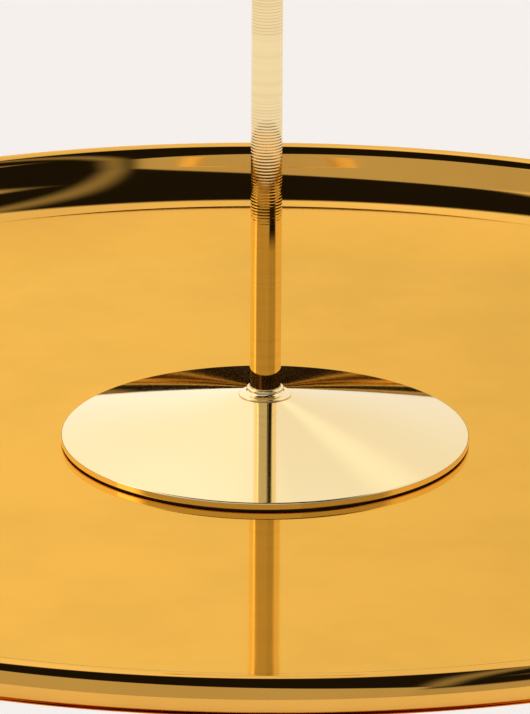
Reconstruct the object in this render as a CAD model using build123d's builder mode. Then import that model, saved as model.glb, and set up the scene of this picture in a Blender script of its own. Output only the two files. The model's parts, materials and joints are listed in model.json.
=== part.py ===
"""Three-tier cake stand: round metal trays on a slim stem that screws together tier by tier.

Each tier has a dished tray with a rolled rim, a low bell-shaped disc that covers the tray's centre hole,
a thin gasket under the disc and a small flared collar at the foot of the stem section above it.
Threaded studs join the stem sections through the trays, and a ring handle tops the stand.
Units are millimetres. +Z is up, and the origin is on the table, on the stem's axis.
"""

import os
from math import cos, radians, sin

from build123d import *

os.makedirs("parts", exist_ok=True)

# ---- driving dimensions ----------------------------------------------------------------------
STEM_R = 3.0  # the stem is 6 mm bar
TIER_PITCH = 150.0  # from one tray's floor to the next
TRAY_RADII = {"bottom": 205.75, "middle": 180.75, "top": 155.75}
SHEET = 1.0  # tray sheet thickness

RIM_HEIGHT = 12.4  # from the tray's floor to the crest of its rim
DISH_R = 150.0  # the floor's edge starts to rise on this large radius
DISH_TURN = 10.5  # degrees of rise where the tighter cove takes over
COVE_R = 13.0  # inside radius from the dished edge up to the wall
WALL_SLOPE = 60.0  # degrees above the floor
ROLL_R = 3.75  # outside radius of the rolled edge
ROLL_TURN = WALL_SLOPE + 190.0  # the edge is rolled over and under, almost closed

DISC_R = 39.25  # bell-shaped disc
DISC_EDGE = 1.65  # top of the disc's upright edge above the tray's floor
SEAT = 9.5  # flat seat for collar and stem on top of the disc, above the tray's floor
DISC_HOLLOW = 0.1  # how far the disc's flank curves in from a straight cone
DISC_SHEET = 1.3
DISC_LAND = 2.4  # width of the flat under the disc's edge
DISC_EASE = 0.4  # rounding of the disc's upper edge
GASKET_H = 0.3
SEAT_R = 5.3  # radius of that seat

COLLAR_R = 4.95
COLLAR_H = 1.8
CUSHION_R = 6.4
CUSHION_H = 0.6
SUPPORT_R = 7.6  # flared collar that carries a tray from below
SUPPORT_H = 4.2

THREAD_R = 2.0  # M4
THREAD_PITCH = 0.7
THREAD_DEPTH = 0.38
THREAD_GAP = 0.05  # running clearance of a stem on its stud
HOLE_R = 2.2  # clearance hole for the stud
ENGAGED = 9.0  # thread held in the foot of a stem section
SOCKET = 11.0  # depth of each tapped hole

FOOT_R = 7.5
FOOT_H = 6.0
FOOT_RING_R = 150.0  # the feet stand on this radius
FOOT_COUNT = 4
PLATE_R = 20.0  # backing plate under the bottom tray
PLATE_H = 1.2
WASHER_R = 4.6
WASHER_H = 0.8
HEAD_R = 3.5
HEAD_H = 2.5
HEX_KEY_R = 1.45  # across the corners of the screw's socket

HANDLE_STEM = 95.0
FERRULE_H = 9.0
FERRULE_R = 5.2
RING_R = 22.0  # centreline radius of the ring handle
RING_WIRE_R = 2.6
RING_SEAT = 2.0  # how deep the wire sits in the ferrule

# ---- places that follow ----------------------------------------------------------------------
FLOOR_Z = {name: FOOT_H + SHEET + i * TIER_PITCH for i, name in enumerate(TRAY_RADII)}
UNDER_TRAY = -SHEET - CUSHION_H  # where a stem section ends under the next tray

PARTS = []


def finish(builder, name):
    """Labels a finished piece, writes its STEP and keeps it for the summary."""
    builder.part.label = name
    export_step(builder.part, f"parts/{name}.step")
    PARTS.append(builder.part)


def ridged_stud(length):
    """Half profile of a threaded stud from z 0 up: a V groove for every pitch, ends chamfered."""
    turns = int(length / THREAD_PITCH) - 1
    lead = (length - turns * THREAD_PITCH) / 2
    root = THREAD_R - THREAD_DEPTH
    points = [(0, 0), (root, 0), (THREAD_R, lead)]
    for turn in range(turns):
        start = lead + turn * THREAD_PITCH
        points.append((root, start + THREAD_PITCH / 2))
        points.append((THREAD_R, start + THREAD_PITCH))
    points += [(root, length), (0, length)]
    return points


# ---- tray ------------------------------------------------------------------------------------
def make_tray(name, floor_z, outer_r):
    """Flat-floored tray whose edge sweeps up to a leaning wall and is rolled over and under."""
    dish, slope = radians(DISH_TURN), radians(WALL_SLOPE)
    wall_foot_z = DISH_R * (1 - cos(dish)) + COVE_R * (cos(dish) - cos(slope))
    wall_top_z = RIM_HEIGHT - ROLL_R * (1 - cos(slope))
    wall = (wall_top_z - wall_foot_z) / sin(slope)
    cove_width = COVE_R * (sin(slope) - sin(dish))
    wall_top_r = outer_r - ROLL_R * (1 + sin(slope))
    floor_r = wall_top_r - wall * cos(slope) - cove_width - DISH_R * sin(dish)
    with BuildPart() as tray:
        with BuildSketch(Plane.XZ):
            with BuildLine():
                floor = Line((HOLE_R, floor_z), (floor_r, floor_z))
                sweep = JernArc(floor @ 1, floor % 1, DISH_R, DISH_TURN)
                cove = JernArc(sweep @ 1, sweep % 1, COVE_R, WALL_SLOPE - DISH_TURN)
                side = Line(cove @ 1, cove @ 1 + (cove % 1) * wall)
                JernArc(side @ 1, side % 1, ROLL_R, -ROLL_TURN)
                offset(amount=SHEET, side=Side.RIGHT, closed=True)
            make_face()
        revolve(axis=Axis.Z)
    finish(tray, name)


# ---- bell-shaped disc, gasket and collar -----------------------------------------------------
def make_disc(name, floor_z):
    """Bell-shaped disc with an upright edge, a flat land under the edge and a seat on top."""
    land_r = DISC_R - DISC_LAND
    inner_seat = SEAT - DISC_SHEET
    with BuildPart() as disc:
        with BuildSketch(Plane.XZ) as profile:
            with BuildLine():
                Polyline(
                    (land_r, floor_z + GASKET_H),
                    (DISC_R, floor_z + GASKET_H),
                    (DISC_R, floor_z + DISC_EDGE),
                )
                SagittaArc((DISC_R, floor_z + DISC_EDGE), (SEAT_R, floor_z + SEAT), -DISC_HOLLOW)
                Polyline(
                    (SEAT_R, floor_z + SEAT),
                    (HOLE_R, floor_z + SEAT),
                    (HOLE_R, floor_z + inner_seat),
                    (SEAT_R, floor_z + inner_seat),
                )
                SagittaArc(
                    (SEAT_R, floor_z + inner_seat), (land_r, floor_z + GASKET_H), DISC_HOLLOW
                )
            make_face()
            outer = profile.vertices().group_by(Axis.X)[-1].sort_by(Axis.Y)
            fillet(outer[-1], DISC_EASE)
            fillet(outer[0], DISC_EASE / 2)
        revolve(axis=Axis.Z)
    finish(disc, name)


def make_gasket(name, floor_z):
    """Thin ring that keeps the disc's edge off the polished tray."""
    with BuildPart() as gasket:
        with BuildSketch(Plane.XY.offset(floor_z)):
            Circle(DISC_R - 0.5)
            Circle(DISC_R - DISC_LAND + 0.2, mode=Mode.SUBTRACT)
        extrude(amount=GASKET_H)
    finish(gasket, name)


def make_collar(name, seat_z):
    """Small turned collar round the stem's foot: a round bead over a flared flange."""
    bore = STEM_R + THREAD_GAP
    flange = 0.35
    bead = (COLLAR_H - flange) / 2 - 0.1
    bead_z = seat_z + COLLAR_H - bead
    bead_r = bore + 0.05
    neck_r = bead_r + bead * 0.62
    with BuildPart() as collar:
        with BuildSketch(Plane.XZ):
            with BuildLine():
                Polyline(
                    (bore, seat_z + COLLAR_H), (bore, seat_z), (COLLAR_R, seat_z)
                )
                ThreePointArc(
                    (COLLAR_R, seat_z),
                    (COLLAR_R + 0.12, seat_z + flange / 2),
                    (COLLAR_R, seat_z + flange),
                )
                ThreePointArc(
                    (COLLAR_R, seat_z + flange),
                    (neck_r + 0.36, seat_z + flange + 0.14),
                    (neck_r, bead_z - bead * 0.62),
                )
                ThreePointArc(
                    (neck_r, bead_z - bead * 0.62),
                    (bead_r + bead * 0.92, bead_z + bead * 0.3),
                    (bore, seat_z + COLLAR_H),
                )
            make_face()
        revolve(axis=Axis.Z)
    finish(collar, name)


# ---- what carries a tray from below ----------------------------------------------------------
def make_support(name, top_z):
    """Flared collar pressed on the end of a stem section, under a tray."""
    neck_r = STEM_R + 1.1
    lip = 0.9
    with BuildPart() as support:
        with BuildSketch(Plane.XZ):
            with BuildLine():
                Polyline(
                    (neck_r, top_z - SUPPORT_H),
                    (STEM_R, top_z - SUPPORT_H),
                    (STEM_R, top_z),
                    (SUPPORT_R, top_z),
                    (SUPPORT_R, top_z - lip),
                )
                RadiusArc(
                    (SUPPORT_R, top_z - lip), (neck_r, top_z - SUPPORT_H), SUPPORT_H * 0.95
                )
            make_face()
        revolve(axis=Axis.Z)
    finish(support, name)


def make_cushion(name, top_z):
    """Soft washer between a tray and the collar that carries it."""
    with BuildPart() as cushion:
        with BuildSketch(Plane.XY.offset(top_z - CUSHION_H)):
            Circle(CUSHION_R)
            Circle(HOLE_R, mode=Mode.SUBTRACT)
        extrude(amount=CUSHION_H)
    finish(cushion, name)


def make_stud(name, low_z, high_z):
    """Threaded stud, its grooves turned as rings."""
    with BuildPart() as stud:
        with BuildSketch(Plane.XZ):
            with BuildLine():
                Polyline(
                    *[(r, low_z + z) for r, z in ridged_stud(high_z - low_z)], close=True
                )
            make_face()
        revolve(axis=Axis.Z)
    finish(stud, name)


# ---- stem sections ---------------------------------------------------------------------------
def make_stem(name, foot_z, top_z):
    """Bar with a tapped hole in each end: clear of the stud below, tight on the stud above."""
    with BuildPart() as stem:
        with BuildSketch(Plane.XY.offset(foot_z)):
            Circle(STEM_R)
        extrude(amount=top_z - foot_z)
        chamfer(stem.edges().filter_by(GeomType.CIRCLE), 0.2)
        with BuildSketch(Plane.XY.offset(foot_z)):
            Circle(THREAD_R + THREAD_GAP)
        extrude(amount=SOCKET, mode=Mode.SUBTRACT)
        with BuildSketch(Plane.XY.offset(top_z - SOCKET)):
            Circle(THREAD_R)
        extrude(amount=SOCKET, mode=Mode.SUBTRACT)
    finish(stem, name)


# ---- base hardware ---------------------------------------------------------------------------
def make_feet(name):
    """Four soft bumpers stuck to the bottom tray's underside."""
    with BuildPart() as feet:
        with PolarLocations(FOOT_RING_R, FOOT_COUNT, start_angle=45):
            Cylinder(FOOT_R, FOOT_H, align=(Align.CENTER, Align.CENTER, Align.MIN))
        bottoms = feet.faces().filter_by(Axis.Z).group_by(Axis.Z)[0]
        fillet(bottoms.edges(), 1.2)
    finish(feet, name)


def make_plate(name, low_z, radius, height, edge):
    """Round plate or washer with a clearance hole and eased edges."""
    with BuildPart() as plate:
        with BuildSketch(Plane.XY.offset(low_z)):
            Circle(radius)
            Circle(HOLE_R, mode=Mode.SUBTRACT)
        extrude(amount=height)
        outer = plate.edges().filter_by(GeomType.CIRCLE).group_by(SortBy.RADIUS)[-1]
        chamfer(outer, edge)
    finish(plate, name)


def make_base_screw(name, head_top_z, tip_z):
    """Socket screw that holds the bottom tier from below, its thread turned as rings."""
    with BuildPart() as screw:
        with BuildSketch(Plane.XZ):
            with BuildLine():
                Polyline(
                    *[(r, head_top_z + z) for r, z in ridged_stud(tip_z - head_top_z)],
                    close=True,
                )
            make_face()
        revolve(axis=Axis.Z)
        with BuildSketch(Plane.XY.offset(head_top_z - HEAD_H)):
            Circle(HEAD_R)
        extrude(amount=HEAD_H)
        head_rim = screw.edges().filter_by(GeomType.CIRCLE).group_by(Axis.Z)[0]
        fillet(head_rim, 0.5)
        with BuildSketch(Plane.XY.offset(head_top_z - HEAD_H)):
            RegularPolygon(HEX_KEY_R, 6)
        extrude(amount=HEAD_H * 0.6, mode=Mode.SUBTRACT)
    finish(screw, name)


# ---- ring handle -----------------------------------------------------------------------------
def make_handle(stem_top_z):
    """Ferrule with a saddle, the ring brazed into it and the stud that holds the ferrule."""
    ferrule_top = stem_top_z + FERRULE_H
    ring_z = ferrule_top - RING_SEAT + RING_WIRE_R + RING_R
    neck_r = STEM_R + 0.6

    with BuildPart() as ring:
        with BuildSketch(Plane.XY.offset(ring_z)):
            with Locations((RING_R, 0)):
                Circle(RING_WIRE_R)
        revolve(axis=Axis((0, 0, ring_z), (0, 1, 0)))
    finish(ring, "ring_handle")

    with BuildPart() as ferrule:
        with BuildSketch(Plane.XZ):
            with BuildLine():
                Polyline((0, ferrule_top), (0, stem_top_z), (neck_r, stem_top_z))
                Line((neck_r, stem_top_z), (neck_r, stem_top_z + 1.2))
                ThreePointArc(
                    (neck_r, stem_top_z + 1.2),
                    (FERRULE_R, stem_top_z + FERRULE_H * 0.55),
                    (neck_r, ferrule_top),
                )
                Line((neck_r, ferrule_top), (0, ferrule_top))
            make_face()
        revolve(axis=Axis.Z)
        with BuildSketch(Plane.XY.offset(stem_top_z)):
            Circle(THREAD_R)
        extrude(amount=FERRULE_H * 0.6, mode=Mode.SUBTRACT)
        add(ring.part, mode=Mode.SUBTRACT)
    finish(ferrule, "ring_ferrule")

    make_stud("ring_stud", stem_top_z - ENGAGED, stem_top_z + FERRULE_H * 0.6)
    return ring_z


# ---- the stand, from the table up ------------------------------------------------------------
base_z = FLOOR_Z["bottom"] - SHEET
make_feet("rubber_feet")
make_plate("base_backing_plate", base_z - PLATE_H, PLATE_R, PLATE_H, 0.4)
make_plate("base_washer", base_z - PLATE_H - WASHER_H, WASHER_R, WASHER_H, 0.15)
make_base_screw(
    "base_screw",
    base_z - PLATE_H - WASHER_H,
    FLOOR_Z["bottom"] + SEAT + ENGAGED,
)

stem_names = {"bottom": "lower_stem", "middle": "upper_stem", "top": "handle_stem"}
for tier, floor_z in FLOOR_Z.items():
    seat_z = floor_z + SEAT
    make_tray(f"{tier}_tray", floor_z, TRAY_RADII[tier])
    make_gasket(f"{tier}_gasket", floor_z)
    make_disc(f"{tier}_domed_disc", floor_z)
    make_collar(f"{tier}_collar", seat_z)
    if tier != "bottom":
        under_z = floor_z + UNDER_TRAY
        make_support(f"{tier}_support_collar", under_z)
        make_cushion(f"{tier}_cushion", floor_z - SHEET)
        make_stud(f"{tier}_stud", under_z - ENGAGED, seat_z + ENGAGED)
    stem_length = HANDLE_STEM if tier == "top" else TIER_PITCH + UNDER_TRAY - SEAT
    make_stem(stem_names[tier], seat_z, seat_z + stem_length)

stem_top_z = FLOOR_Z["top"] + SEAT + HANDLE_STEM
ring_z = make_handle(stem_top_z)

print("seat above floor", round(SEAT, 4), "floors", FLOOR_Z)
print("ring centre z", round(ring_z, 4), "overall height", round(ring_z + RING_R + RING_WIRE_R, 3))
print(len(PARTS), "parts")
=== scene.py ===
"""Looks of a tiered cake stand: spun gold trays with rolled rims, domed discs and a turned stem.

The sheet-metal and turned pieces are lathe meshes with exact normals, so that a mirror polish
reflects cleanly. Sizes are in metres unless a property says otherwise, and places come from the
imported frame.
"""

import json
import math

import bpy
from mathutils import Matrix, Vector


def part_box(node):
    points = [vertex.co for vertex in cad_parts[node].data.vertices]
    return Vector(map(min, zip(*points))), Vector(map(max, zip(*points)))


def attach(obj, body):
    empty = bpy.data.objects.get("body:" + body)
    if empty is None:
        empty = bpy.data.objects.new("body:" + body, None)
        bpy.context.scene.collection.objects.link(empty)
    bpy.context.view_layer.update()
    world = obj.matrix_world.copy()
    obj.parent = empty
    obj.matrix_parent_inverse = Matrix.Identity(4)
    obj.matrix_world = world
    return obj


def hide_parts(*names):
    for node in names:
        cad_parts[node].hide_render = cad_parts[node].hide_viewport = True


bl_info = {
    "name": "Tiered cake stand",
    "version": (1, 0, 0),
    "blender": (4, 5, 0),
    "location": "View3D > Sidebar > Cake stand",
    "description": "Builds the trays, discs, stem, handle and stage of a tiered cake stand",
    "category": "Add Mesh",
}

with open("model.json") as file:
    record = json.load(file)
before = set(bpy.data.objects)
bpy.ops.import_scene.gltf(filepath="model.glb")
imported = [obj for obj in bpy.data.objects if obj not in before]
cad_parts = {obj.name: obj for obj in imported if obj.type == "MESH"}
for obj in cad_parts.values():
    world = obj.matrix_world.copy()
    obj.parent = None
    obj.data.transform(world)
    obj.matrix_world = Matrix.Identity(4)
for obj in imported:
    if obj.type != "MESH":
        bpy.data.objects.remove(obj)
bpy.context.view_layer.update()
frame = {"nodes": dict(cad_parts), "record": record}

MM = 0.001
BODY_OF = {
    node: body for body, nodes in frame["record"]["behaviour"]["bodies"].items() for node in nodes
}
TIERS = ("bottom", "middle", "top")
STEMS = ("lower_stem", "upper_stem", "handle_stem")
TRAY_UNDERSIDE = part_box("top_tray")[0].z
STEM_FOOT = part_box("lower_stem")[0].z
TIER_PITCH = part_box("upper_stem")[0].z - STEM_FOOT


# ---- settings --------------------------------------------------------------------------------
class TraySettings(bpy.types.PropertyGroup):
    sheet: bpy.props.FloatProperty(
        name="Sheet", description="Thickness of the tray's metal", default=1.0 * MM, unit="LENGTH"
    )
    dish: bpy.props.FloatProperty(
        name="Dish",
        description="Large radius on which the floor's edge starts to rise",
        default=150.0 * MM,
        unit="LENGTH",
    )
    dish_turn: bpy.props.FloatProperty(
        name="Dish turn",
        description="Rise at which the cove takes over",
        default=math.radians(10.5),
        unit="ROTATION",
    )
    cove: bpy.props.FloatProperty(
        name="Cove",
        description="Inside radius from the dished edge up to the wall",
        default=13.0 * MM,
        unit="LENGTH",
    )
    roll: bpy.props.FloatProperty(
        name="Roll",
        description="Outside radius of the rolled edge",
        default=3.75 * MM,
        unit="LENGTH",
    )
    slope: bpy.props.FloatProperty(
        name="Wall slope",
        description="Wall's angle above the floor",
        default=math.radians(60),
        unit="ROTATION",
    )
    hole: bpy.props.FloatProperty(
        name="Hole", description="Radius of the centre hole", default=2.2 * MM, unit="LENGTH"
    )
    colour: bpy.props.FloatVectorProperty(
        name="Tray gold",
        description="Colour of the tray's plating",
        default=(0.88, 0.47, 0.09),
        subtype="COLOR",
    )
    edge_colour: bpy.props.FloatVectorProperty(
        name="Edge tint",
        description="Tint of the plating seen at a grazing angle",
        default=(0.89, 0.785, 0.5),
        subtype="COLOR",
    )
    waviness: bpy.props.FloatProperty(
        name="Waviness",
        description="How far the sheet's surface strays from flat",
        default=0.02 * MM,
        unit="LENGTH",
    )


class FittingSettings(bpy.types.PropertyGroup):
    edge: bpy.props.FloatProperty(
        name="Edge",
        description="Height of the disc's upright edge",
        default=1.35 * MM,
        unit="LENGTH",
    )
    hollow: bpy.props.FloatProperty(
        name="Hollow",
        description="How far the flank curves in from a straight cone",
        default=0.1 * MM,
        unit="LENGTH",
    )
    land: bpy.props.FloatProperty(
        name="Land",
        description="Width of the flat under the disc's edge",
        default=2.4 * MM,
        unit="LENGTH",
    )
    disc_sheet: bpy.props.FloatProperty(
        name="Disc sheet",
        description="Thickness of the disc's metal",
        default=1.3 * MM,
        unit="LENGTH",
    )
    ease: bpy.props.FloatProperty(
        name="Ease",
        description="Rounding of the disc's upper edge",
        default=0.4 * MM,
        unit="LENGTH",
    )
    seat: bpy.props.FloatProperty(
        name="Seat",
        description="Radius of the flat on top of the disc",
        default=5.3 * MM,
        unit="LENGTH",
    )
    colour: bpy.props.FloatVectorProperty(
        name="Fitting gold",
        description="Colour of discs, stem and handle",
        default=(0.97, 0.79, 0.44),
        subtype="COLOR",
    )
    marks: bpy.props.FloatProperty(
        name="Marks",
        description="Depth of the lathe marks on the stem",
        default=0.0022 * MM,
        unit="LENGTH",
    )
    # ridge also spaces the painted dark reflection rings on the stem.
    ridge: bpy.props.FloatProperty(
        name="Ridge",
        description="Distance from one lathe mark to the next",
        default=0.6 * MM,
        unit="LENGTH",
    )


class StageSettings(bpy.types.PropertyGroup):
    distance: bpy.props.FloatProperty(
        name="Distance", description="Camera distance from its aim", default=1.3, unit="LENGTH"
    )
    elevation: bpy.props.FloatProperty(
        name="Elevation",
        description="Camera height over the horizon",
        default=math.radians(19.168),
        unit="ROTATION",
    )
    roll: bpy.props.FloatProperty(
        name="Roll",
        description="Camera turn about its line of sight",
        default=math.radians(0.329),
        unit="ROTATION",
    )
    aim_side: bpy.props.FloatProperty(
        name="Aim side",
        description="Aim point's distance from the stem",
        default=-0.08 * MM,
        unit="LENGTH",
    )
    aim_height: bpy.props.FloatProperty(
        name="Aim height",
        description="Aim point above the tray's floor",
        default=17.03 * MM,
        unit="LENGTH",
    )
    lens: bpy.props.FloatProperty(
        name="Lens",
        description="Focal length in millimetres",
        default=341.85,
        subtype="DISTANCE_CAMERA",
    )
    floor: bpy.props.FloatVectorProperty(
        name="Floor",
        description="Colour of the pale floor",
        default=(0.80, 0.77, 0.75),
        subtype="COLOR",
    )


# ---- shader writing --------------------------------------------------------------------------
class Term:
    """A node's output that can be used in arithmetic: each operator adds its Math node."""

    def __init__(self, shader, socket):
        self.shader, self.socket = shader, socket

    def math(self, operation, *values):
        inputs = dict(enumerate((self, *values)))
        return self.shader.make("ShaderNodeMath", {"operation": operation}, inputs)

    def __add__(self, other):
        return self.math("ADD", other)

    def __sub__(self, other):
        return self.math("SUBTRACT", other)

    def __rsub__(self, other):
        return self.math("MULTIPLY", -1.0).math("ADD", other)

    def __mul__(self, other):
        return self.math("MULTIPLY", other)

    def __abs__(self):
        return self.math("ABSOLUTE")

    def step(self, low, high):
        """0 below low and 1 above high, smooth between."""
        return self.shader.make(
            "ShaderNodeMapRange",
            {"interpolation_type": "SMOOTHSTEP"},
            {"Value": self, "From Min": low, "From Max": high},
        )

    def band(self, low, high, soft):
        """1 from low to high, fading to 0 over soft on each side."""
        return self.step(low - soft, low + soft) * (1 - self.step(high - soft, high + soft))

    __radd__, __rmul__ = __add__, __mul__


class Shader:
    """A node tree being written: every node comes from make."""

    def __init__(self, tree):
        self.tree = tree
        tree.nodes.clear()

    def make(self, kind, settings=(), inputs=(), output=0):
        node = self.tree.nodes.new(kind)
        for key, value in dict(settings).items():
            if key == "stops":
                ramp = node.color_ramp.elements
                while len(ramp) < len(value):
                    ramp.new(0.5)
                for stop, (place, colour) in zip(ramp, value):
                    stop.position, stop.color = place, (*colour, 1.0)
            else:
                setattr(node, key, value)
        for key, value in dict(inputs).items():
            if isinstance(value, Term):
                self.tree.links.new(value.socket, node.inputs[key])
            else:
                node.inputs[key].default_value = value
        return Term(self, node.outputs[output]) if node.outputs else None

    def place(self, scale=(1.0, 1.0, 1.0)):
        """Object coordinates in metres, stretched by scale."""
        spot = self.make("ShaderNodeTexCoord", output="Object")
        return self.make(
            "ShaderNodeVectorMath", {"operation": "MULTIPLY"}, {0: spot, 1: scale}
        )

    def parts(self, vector):
        """The vector's X, Y and Z as three terms."""
        first = self.make("ShaderNodeSeparateXYZ", inputs={0: vector})
        return [Term(self, socket) for socket in first.socket.node.outputs]

    def noise(self, vector, scale, detail=2.0, rough=0.5, **settings):
        return self.make(
            "ShaderNodeTexNoise",
            settings,
            {"Vector": vector, "Scale": scale, "Detail": detail, "Roughness": rough},
        )

    def tint(self, low, high, factor):
        """A colour between low and high."""
        mixed = self.make(
            "ShaderNodeMix",
            {"data_type": "RGBA"},
            {"Factor": factor, 6: (*low, 1.0), 7: (*high, 1.0)},
            output=2,
        )
        return mixed

    def surface(self, colour, roughness, normal=None, metallic=1.0, **fixed):
        inputs = {"Base Color": colour, "Roughness": roughness, "Metallic": metallic, **fixed}
        if normal is not None:
            inputs["Normal"] = normal
        closure = self.make("ShaderNodeBsdfPrincipled", inputs=inputs)
        self.make("ShaderNodeOutputMaterial", inputs={"Surface": closure})

    def bump(self, height, distance, strength=1.0):
        return self.make(
            "ShaderNodeBump", inputs={"Height": height, "Distance": distance, "Strength": strength}
        )


def new_material(name):
    material = bpy.data.materials.new(name)
    material.use_nodes = True
    return material, Shader(material.node_tree)


def tray_gold(settings):
    """Deep gold mirror: a slightly wavy sheet with a soft bloom of polishing haze."""
    material, shader = new_material("tray_gold_polish")
    spot = shader.place()
    swell = shader.noise(spot, 14.0, 1.0)
    haze = shader.noise(spot, 38.0, 3.0, 0.6)
    normal = shader.bump(swell, settings.waviness)
    deep = tuple(0.93 * part for part in settings.colour)
    colour = shader.tint(deep, tuple(settings.colour), haze.step(0.3, 0.7))
    edge = (*settings.edge_colour, 1.0)
    shader.surface(colour, 0.035 + 0.03 * haze, normal, **{"Specular Tint": edge})
    return material


def disc_gold(settings):
    """Pale gold mirror with faint rings from polishing on the lathe."""
    material, shader = new_material("disc_gold_polish")
    x, y, _ = shader.parts(shader.place())
    radius = (x * x + y * y).math("SQRT")
    rings = shader.make(
        "ShaderNodeTexNoise",
        {"noise_dimensions": "1D"},
        {"W": radius, "Scale": 900.0, "Detail": 2.0},
    )
    swell = shader.noise(shader.place(), 22.0, 1.0)
    pale = tuple(settings.colour)
    deep = (0.97 * pale[0], 0.94 * pale[1], 0.88 * pale[2])
    colour = shader.tint(deep, pale, swell.step(0.3, 0.7))
    normal = shader.bump(rings * 0.01 + swell, 0.012 * MM)
    shader.surface(colour, 0.04 + 0.02 * rings, normal)
    return material


def stem_gold(settings):
    """Pale gold bar with fine turning marks round it, and painted dark reflections as dark rings in
    bands along each section.
    """
    material, shader = new_material("stem_gold_turned")
    _, _, z = shader.parts(shader.place())
    fine = shader.make(
        "ShaderNodeTexNoise",
        {"noise_dimensions": "1D"},
        {"W": z, "Scale": 900.0, "Detail": 2.0, "Roughness": 0.6},
    )
    along = (z - STEM_FOOT).math("MODULO", TIER_PITCH)
    # Bands along each tier's stem: the turning marks are bumped in there, and dark rings are painted
    # into the colour there as painted dark reflections.
    turning_marks_and_painted_reflection_bands = along.band(0.0365, 0.0590, 0.004) + along.step(0.0715, 0.0735)
    drift = shader.noise(shader.place((6.0, 6.0, 160.0)), 1.0, 1.0)
    ridges = (z * (2 * math.pi / settings.ridge) + 5.0 * drift).math("SINE")
    pale = tuple(settings.colour)
    # deep is the dark end of the tint: the painted dark reflection rings reach towards it, and the
    # fine noise gives a little random tone.
    deep = (0.6 * pale[0], 0.5 * pale[1], 0.4 * pale[2])
    # Painted dark reflections: the colour darkens along the ridges inside the bands; the fine noise is
    # random tone.
    tone_and_painted_dark_reflections = (0.86 + 0.14 * fine.step(0.3, 0.6)) * (1 - 0.4 * turning_marks_and_painted_reflection_bands * ridges.step(-0.2, 1.0))
    colour = shader.tint(deep, pale, tone_and_painted_dark_reflections)
    normal = shader.bump(ridges * turning_marks_and_painted_reflection_bands + 0.12 * fine, settings.marks)
    shader.surface(colour, 0.014 + 0.012 * fine, normal)
    return material


def plated_steel():
    """Zinc-plated steel of the hidden fastenings."""
    material, shader = new_material("zinc_plated_steel")
    spot = shader.place()
    grain = shader.noise(spot, 700.0, 3.0, 0.6)
    cloud = shader.noise(spot, 90.0, 2.0)
    colour = shader.tint((0.42, 0.42, 0.44), (0.62, 0.62, 0.63), cloud)
    shader.surface(colour, 0.24 + 0.16 * grain, shader.bump(grain, 0.02 * MM))
    return material


def soft_rubber():
    """Matt dark rubber of feet, gaskets and cushions."""
    material, shader = new_material("soft_rubber")
    spot = shader.place()
    pores = shader.noise(spot, 1400.0, 3.0, 0.7)
    bloom = shader.noise(spot, 60.0, 2.0)
    colour = shader.tint((0.012, 0.011, 0.010), (0.035, 0.033, 0.03), bloom)
    shader.surface(colour, 0.55 + 0.25 * pores, shader.bump(pores, 0.05 * MM), metallic=0.0)
    return material


# ---- lathe work ------------------------------------------------------------------------------
class Outline:
    """A lathe outline, drawn by going along it with the outside on the left.

    Each run is a list of (radius, height, heading) points; where two runs meet at different
    headings the edge between them is hard.
    """

    def __init__(self, radius, height, heading=0.0):
        self.at, self.heading, self.runs = (radius, height), heading, []

    def face(self, heading):
        self.heading = heading
        return self

    def line(self, length, steps=1):
        r, z = self.at
        dr, dz = math.cos(self.heading) * length, math.sin(self.heading) * length
        run = [(r + dr * i / steps, z + dz * i / steps, self.heading) for i in range(steps + 1)]
        self.runs.append(run)
        self.at = run[-1][:2]
        return self

    def to(self, radius, height, steps=1):
        dr, dz = radius - self.at[0], height - self.at[1]
        return self.face(math.atan2(dz, dr)).line(math.hypot(dr, dz), steps)

    def arc(self, radius, turn, steps):
        """Goes round an arc; a positive turn is to the left, and turn is in radians."""
        side = math.copysign(1.0, turn)
        cr = self.at[0] - side * radius * math.sin(self.heading)
        cz = self.at[1] + side * radius * math.cos(self.heading)
        run = []
        for i in range(steps + 1):
            heading = self.heading + turn * i / steps
            run.append(
                (
                    cr + side * radius * math.sin(heading),
                    cz - side * radius * math.cos(heading),
                    heading,
                )
            )
        self.runs.append(run)
        self.at, self.heading = run[-1][:2], run[-1][2]
        return self

    def bow(self, radius, height, hollow, steps):
        """Goes to a point along an arc that strays by hollow to the right of the straight way."""
        dr, dz = radius - self.at[0], height - self.at[1]
        chord = math.hypot(dr, dz)
        half = 2 * math.atan2(2 * hollow, chord)
        self.face(math.atan2(dz, dr) - half)
        return self.arc(chord / 2 / abs(math.sin(half)), 2 * half, steps)

    def underside(self, sheet):
        """Turns the path into a sheet of that thickness, whose right side is the underside."""
        back = []
        for run in reversed(self.runs):
            back.append(
                [
                    (r + sheet * math.sin(h), z - sheet * math.cos(h), h + math.pi)
                    for r, z, h in reversed(run)
                ]
            )
        start, end = self.runs[0][0], back[-1][-1]
        self.to(*back[0][0][:2])
        self.runs += back
        self.at = end[:2]
        return self.to(*start[:2])


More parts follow.
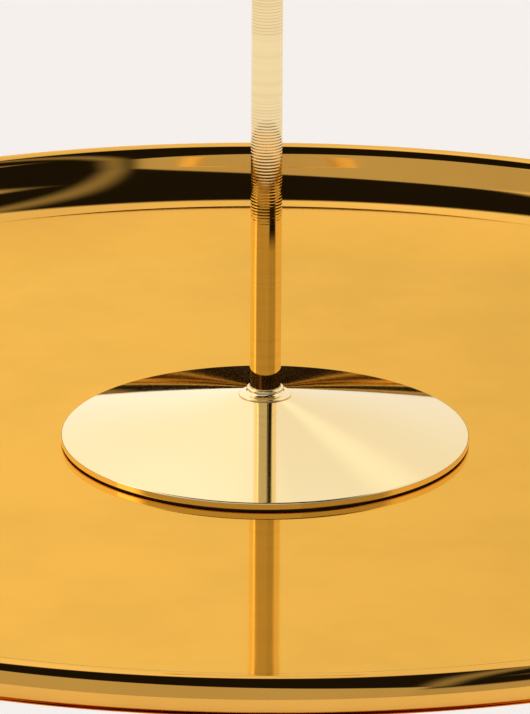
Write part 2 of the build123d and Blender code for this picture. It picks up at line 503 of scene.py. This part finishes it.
def turned(name, outline, segments=192, spots=((0.0, 0.0),)):
    """A closed lathe mesh with exact normals, once at each spot."""
    points, faces, loop_normals = [], [], []
    turns = [2 * math.pi * i / segments for i in range(segments)]
    flat = [point for run in outline.runs for point in run]
    keys, ring_of = {}, []
    for r, z, _ in flat:
        key = (round(r, 9), round(z, 9))
        ring_of.append(keys.setdefault(key, len(keys)))
    per_spot = len(keys) * segments
    for sx, sy in spots:
        for r, z in keys:
            points += [(sx + r * math.cos(t), sy + r * math.sin(t), z) for t in turns]
    for spot in range(len(spots)):
        base, at = spot * per_spot, 0
        for run in outline.runs:
            for i in range(len(run) - 1):
                a, b = ring_of[at + i], ring_of[at + i + 1]
                if a == b:
                    continue
                for s in range(segments):
                    t = (s + 1) % segments
                    faces.append(
                        [base + k * segments + m for k, m in ((a, s), (b, s), (b, t), (a, t))]
                    )
                    for place, m in ((i, s), (i + 1, s), (i + 1, t), (i, t)):
                        out_r, up = -math.sin(run[place][2]), math.cos(run[place][2])
                        loop_normals.append(
                            (out_r * math.cos(turns[m]), out_r * math.sin(turns[m]), up)
                        )
            at += len(run)
    mesh = bpy.data.meshes.new(name)
    mesh.from_pydata(points, [], faces)
    mesh.polygons.foreach_set("use_smooth", [True] * len(faces))
    mesh.normals_split_custom_set(loop_normals)
    piece = bpy.data.objects.new(name, mesh)
    bpy.context.collection.objects.link(piece)
    return piece


def ring(name, radius, wire, centre, around=160, across=40):
    """A wire ring standing in the XZ plane, with exact normals."""
    points, faces, normals = [], [], []
    for i in range(around):
        a = 2 * math.pi * i / around
        out = Vector((math.sin(a), 0.0, math.cos(a)))
        for j in range(across):
            b = 2 * math.pi * j / across
            normal = out * math.cos(b) + Vector((0.0, math.sin(b), 0.0))
            points.append(centre + out * radius + normal * wire)
            normals.append(normal)
    for i in range(around):
        for j in range(across):
            k, m = (i + 1) % around, (j + 1) % across
            faces.append((i * across + j, k * across + j, k * across + m, i * across + m))
    mesh = bpy.data.meshes.new(name)
    mesh.from_pydata(points, [], faces)
    mesh.polygons.foreach_set("use_smooth", [True] * len(faces))
    mesh.normals_split_custom_set_from_vertices(normals)
    piece = bpy.data.objects.new(name, mesh)
    bpy.context.collection.objects.link(piece)
    return piece


def finish_piece(piece, node, material):
    """Puts the material on a piece, lets it stand for its node and ride on the node's body."""
    piece.data.materials.append(material)
    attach(piece, BODY_OF[node])
    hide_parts(node)


def material_once(name, make, *settings):
    return bpy.data.materials.get(name) or make(*settings)


# ---- operators -------------------------------------------------------------------------------
class StandOperator:
    """What every step has in common: a step that can't be done raises."""

    bl_options = {"REGISTER", "UNDO"}


class STAND_OT_trays(StandOperator, bpy.types.Operator):
    """Spin the trays: flat floor, dished edge, cove, leaning wall and rolled rim"""

    bl_idname = "stand.trays"
    bl_label = "Trays"

    def execute(self, context):
        tray = context.scene.stand_tray
        material = material_once("tray_gold_polish", tray_gold, tray)
        for tier in TIERS:
            low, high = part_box(f"{tier}_tray")
            floor = low.z + tray.sheet
            slope, dish = tray.slope, tray.dish_turn
            rise = high.z - floor - tray.roll * (1 - math.cos(slope))
            rise -= tray.dish * (1 - math.cos(dish)) + tray.cove * (math.cos(dish) - math.cos(slope))
            wall = rise / math.sin(slope)
            reach = tray.dish * math.sin(dish) + tray.cove * (math.sin(slope) - math.sin(dish))
            reach += wall * math.cos(slope) + tray.roll * (1 + math.sin(slope))
            outline = Outline(tray.hole, floor)
            outline.line(high.x - reach - tray.hole, 24).arc(tray.dish, dish, 32)
            outline.arc(tray.cove, slope - dish, 32).line(wall, 2)
            outline.arc(tray.roll, -slope - math.radians(190), 60).underside(tray.sheet)
            piece = turned(f"{tier}_tray_spun", outline, 320)
            finish_piece(piece, f"{tier}_tray", material)
        return {"FINISHED"}


class STAND_OT_discs(StandOperator, bpy.types.Operator):
    """Press the domed discs that cover the trays' centre holes"""

    bl_idname = "stand.discs"
    bl_label = "Domed discs"

    def execute(self, context):
        fit = context.scene.stand_fitting
        hole = context.scene.stand_tray.hole
        material = material_once("disc_gold_polish", disc_gold, fit)
        for tier in TIERS:
            low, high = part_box(f"{tier}_domed_disc")
            edge_r, edge_z = high.x, low.z + fit.edge
            chord = math.hypot(edge_r - fit.seat, high.z - edge_z)
            flank = (chord**2 / 4 + fit.hollow**2) / (2 * fit.hollow)
            start = math.atan2(edge_z - high.z, edge_r - fit.seat) - math.asin(chord / 2 / flank)
            middle = fit.seat - flank * math.sin(start)
            stop = math.asin((edge_r - fit.ease - middle) / (flank + fit.ease))
            outline = Outline(hole, high.z).line(fit.seat - hole, 3).face(start)
            outline.arc(flank, stop - start, 96)
            outline.arc(fit.ease, -stop - math.pi / 2, 10)
            outline.to(edge_r, low.z + fit.ease / 2).arc(fit.ease / 2, -math.pi / 2, 6)
            outline.to(edge_r - fit.land, low.z)
            outline.bow(fit.seat, high.z - fit.disc_sheet, -fit.hollow, 32)
            outline.to(hole, high.z - fit.disc_sheet).to(hole, high.z)
            piece = turned(f"{tier}_disc_pressed", outline, 256)
            finish_piece(piece, f"{tier}_domed_disc", material)
        return {"FINISHED"}


class STAND_OT_collars(StandOperator, bpy.types.Operator):
    """Turn the small collars at the stem's feet: a round bead over a flared flange"""

    bl_idname = "stand.collars"
    bl_label = "Collars"

    def execute(self, context):
        fit = context.scene.stand_fitting
        material = material_once("stem_gold_turned", stem_gold, fit)
        for tier in TIERS:
            low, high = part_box(f"{tier}_collar")
            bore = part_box("lower_stem")[1].x + 0.05 * MM
            flange = 0.3 * MM
            outline = Outline(bore, high.z - 0.05 * MM, 0.0)
            outline.line(0.12 * MM).arc(0.42 * MM, -math.radians(150), 16)
            outline.face(-math.radians(60)).arc(1.1 * MM, math.radians(40), 12)
            outline.to(high.x - flange / 2, low.z + flange).face(0.0)
            outline.arc(flange / 2, -math.pi, 12).to(bore, low.z).to(bore, high.z - 0.05 * MM)
            piece = turned(f"{tier}_collar_turned", outline, 128)
            finish_piece(piece, f"{tier}_collar", material)
        return {"FINISHED"}


class STAND_OT_stems(StandOperator, bpy.types.Operator):
    """Turn the stem's three sections"""

    bl_idname = "stand.stems"
    bl_label = "Stem sections"

    def execute(self, context):
        material = material_once("stem_gold_turned", stem_gold, context.scene.stand_fitting)
        ease = 0.2 * MM
        for node in STEMS:
            low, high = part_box(node)
            bore = 2.05 * MM
            outline = Outline(bore, high.z).to(high.x - ease, high.z)
            outline.arc(ease, -math.pi / 2, 6).to(high.x, low.z + ease, 40)
            outline.arc(ease, -math.pi / 2, 6).to(bore, low.z).to(bore, high.z)
            piece = turned(f"{node}_turned", outline, 128)
            finish_piece(piece, node, material)
        return {"FINISHED"}


class STAND_OT_supports(StandOperator, bpy.types.Operator):
    """Turn the flared collars that carry the upper trays"""

    bl_idname = "stand.supports"
    bl_label = "Support collars"

    def execute(self, context):
        material = material_once("stem_gold_turned", stem_gold, context.scene.stand_fitting)
        for tier in TIERS[1:]:
            low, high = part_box(f"{tier}_support_collar")
            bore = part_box("lower_stem")[1].x
            neck, lip = bore + 1.1 * MM, 0.9 * MM
            outline = Outline(bore, high.z).to(high.x - 0.2 * MM, high.z)
            outline.arc(0.2 * MM, -math.pi / 2, 6).to(high.x, high.z - lip)
            outline.bow(neck, low.z, 0.8 * MM, 16).to(bore, low.z).to(bore, high.z)
            piece = turned(f"{tier}_support_turned", outline, 128)
            finish_piece(piece, f"{tier}_support_collar", material)
        return {"FINISHED"}


class STAND_OT_handle(StandOperator, bpy.types.Operator):
    """Make the ring handle and the ferrule that holds it"""

    bl_idname = "stand.handle"
    bl_label = "Ring handle"

    def execute(self, context):
        fit = context.scene.stand_fitting
        material = material_once("stem_gold_turned", stem_gold, fit)
        low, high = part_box("ring_handle")
        wire = high.y
        piece = ring("ring_handle_bent", high.x - wire, wire, Vector((0, 0, (low.z + high.z) / 2)))
        finish_piece(
            piece, "ring_handle", material_once("disc_gold_polish", disc_gold, fit)
        )

        low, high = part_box("ring_ferrule")
        neck = 3.6 * MM
        waist, bore = 1.2 * MM, 2.05 * MM
        outline = Outline(bore, high.z).to(neck, high.z)
        outline.bow(neck, low.z + waist, neck - high.x, 32)
        outline.to(neck, low.z).to(bore, low.z).to(bore, high.z)
        piece = turned("ring_ferrule_turned", outline, 128)
        finish_piece(piece, "ring_ferrule", material)
        return {"FINISHED"}


class STAND_OT_feet(StandOperator, bpy.types.Operator):
    """Mould the soft feet under the bottom tray"""

    bl_idname = "stand.feet"
    bl_label = "Feet"

    def execute(self, context):
        low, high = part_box("rubber_feet")
        radius = 7.5 * MM
        spread = high.x - radius
        round_off = 1.2 * MM
        outline = Outline(0.0001 * MM, high.z).to(radius, high.z)
        outline.to(radius, low.z + round_off).arc(round_off, -math.pi / 2, 12)
        outline.to(2.6 * MM, low.z).to(2.2 * MM, low.z + 0.5 * MM).to(0.0001 * MM, low.z + 0.5 * MM)
        spots = [(x * spread, y * spread) for x in (-1, 1) for y in (-1, 1)]
        piece = turned("rubber_feet_moulded", outline, 64, spots)
        finish_piece(piece, "rubber_feet", material_once("soft_rubber", soft_rubber))
        return {"FINISHED"}


class STAND_OT_fastenings(StandOperator, bpy.types.Operator):
    """Finish the studs, screw, plate, washers and gaskets"""

    bl_idname = "stand.fastenings"
    bl_label = "Fastenings"

    def execute(self, context):
        steel = material_once("zinc_plated_steel", plated_steel)
        rubber = material_once("soft_rubber", soft_rubber)
        finishes = {"hardware_steel": steel, "rubber": rubber}
        slots = {part["node"]: part["material_slot"] for part in frame["record"]["subparts"]}
        for node, piece in frame["nodes"].items():
            if slots[node] in finishes:
                piece.data.materials.clear()
                piece.data.materials.append(finishes[slots[node]])
        return {"FINISHED"}


class STAND_OT_stage(StandOperator, bpy.types.Operator):
    """Set the pale floor, the soft light and the camera"""

    bl_idname = "stand.stage"
    bl_label = "Stage"

    def execute(self, context):
        stage = context.scene.stand_stage
        self.floor(stage)
        self.light(context.scene)
        self.camera(context.scene, stage)
        context.scene.view_settings.view_transform = "Standard"
        return {"FINISHED"}

    def floor(self, stage):
        size = 6.0
        mesh = bpy.data.meshes.new("pale_floor")
        corners = [(-size, -size, 0), (size, -size, 0), (size, size, 0), (-size, size, 0)]
        mesh.from_pydata(corners, [], [(0, 1, 2, 3)])
        floor = bpy.data.objects.new("pale_floor", mesh)
        bpy.context.collection.objects.link(floor)
        material, shader = new_material("pale_floor")
        grain = shader.noise(shader.place(), 3.0, 2.0)
        colour = shader.tint(tuple(0.98 * c for c in stage.floor), tuple(stage.floor), grain)
        lit = (0.96, 0.92, 0.90, 1.0)
        glow = {"Emission Color": lit, "Emission Strength": 0.44, "Specular IOR Level": 0.0}
        shader.surface(colour, 0.7, metallic=0.0, **glow)
        mesh.materials.append(material)

    def light(self, scene):
        """A soft white tent with a dark roof and a grey front with a gap at its right.

        Sight lines are unit vectors from the stand: x to the right, -y to the front and z up.
        """
        world = bpy.data.worlds.new("soft_studio")
        world.use_nodes = True
        scene.world = world
        shader = Shader(world.node_tree)
        spot = shader.make("ShaderNodeTexCoord", output="Generated")
        x, y, z = shader.parts(spot)
        up = z.math("ARCSINE") * (180 / math.pi)
        seen = shader.make("ShaderNodeLightPath", output="Is Camera Ray")

        tent = y.step(-0.35, -0.15) * (1 - up.step(57.0, 63.0))
        front = (1 - (y + 0.58 * x).step(-0.54, -0.50)) * (1 - x.step(0.31, 0.35))
        low_front = (1 - y.step(-0.35, -0.15)) * (1 - up.step(24.0, 34.0)) * x.step(0.31, 0.35)
        strip = (x + 0.12 * y).band(0.235, 0.285, 0.03) * z.step(0.5, 0.7)
        gloom = 0.012
        walls = 1.1 - 0.15 * x.step(-0.06, 0.06)
        tent_light = gloom + tent * walls + 0.57 * front + 0.5 * low_front + 0.3 * strip
        strength = tent_light * (1 - seen) + seen
        glow = shader.make(
            "ShaderNodeBackground", inputs={"Color": (1.0, 0.975, 0.955, 1.0), "Strength": strength}
        )
        shader.make("ShaderNodeOutputWorld", inputs={"Surface": glow})

    def camera(self, scene, stage):
        lens = bpy.data.cameras.new("camera")
        lens.lens, lens.sensor_width, lens.clip_end = stage.lens, 36.0, 50.0
        camera = bpy.data.objects.new("camera", lens)
        bpy.context.collection.objects.link(camera)
        up, along = math.sin(stage.elevation), math.cos(stage.elevation)
        back = Vector((0.0, -along, up))
        aim = Vector((stage.aim_side, 0.0, TRAY_UNDERSIDE + scene.stand_tray.sheet + stage.aim_height))
        turn = Matrix.Rotation(stage.roll, 4, back)
        right = turn @ Vector((1.0, 0.0, 0.0))
        top = back.cross(right)
        axes = Matrix((right, top, back)).transposed().to_4x4()
        camera.matrix_world = Matrix.Translation(aim + back * stage.distance) @ axes
        scene.camera = camera


class STAND_PT_panel(bpy.types.Panel):
    """Lists the steps in the 3D view's sidebar"""

    bl_idname = "STAND_PT_panel"
    bl_label = "Tiered cake stand"
    bl_space_type = "VIEW_3D"
    bl_region_type = "UI"
    bl_category = "Cake stand"

    def draw(self, context):
        for step in STEPS:
            self.layout.operator(step.bl_idname)


STEPS = (
    STAND_OT_trays,
    STAND_OT_discs,
    STAND_OT_collars,
    STAND_OT_stems,
    STAND_OT_supports,
    STAND_OT_handle,
    STAND_OT_feet,
    STAND_OT_fastenings,
    STAND_OT_stage,
)
SETTINGS = {
    "stand_tray": TraySettings,
    "stand_fitting": FittingSettings,
    "stand_stage": StageSettings,
}


def register():
    for cls in (*SETTINGS.values(), *STEPS, STAND_PT_panel):
        bpy.utils.register_class(cls)
    for name, cls in SETTINGS.items():
        setattr(bpy.types.Scene, name, bpy.props.PointerProperty(type=cls))


def unregister():
    for name in SETTINGS:
        delattr(bpy.types.Scene, name)
    for cls in reversed((*SETTINGS.values(), *STEPS, STAND_PT_panel)):
        bpy.utils.unregister_class(cls)


def main():
    register()
    bpy.ops.stand.trays()
    bpy.ops.stand.discs()
    bpy.ops.stand.collars()
    bpy.ops.stand.stems()
    bpy.ops.stand.supports()
    bpy.ops.stand.handle()
    bpy.ops.stand.feet()
    bpy.ops.stand.fastenings()
    bpy.ops.stand.stage()


if __name__ == "__main__":
    main()
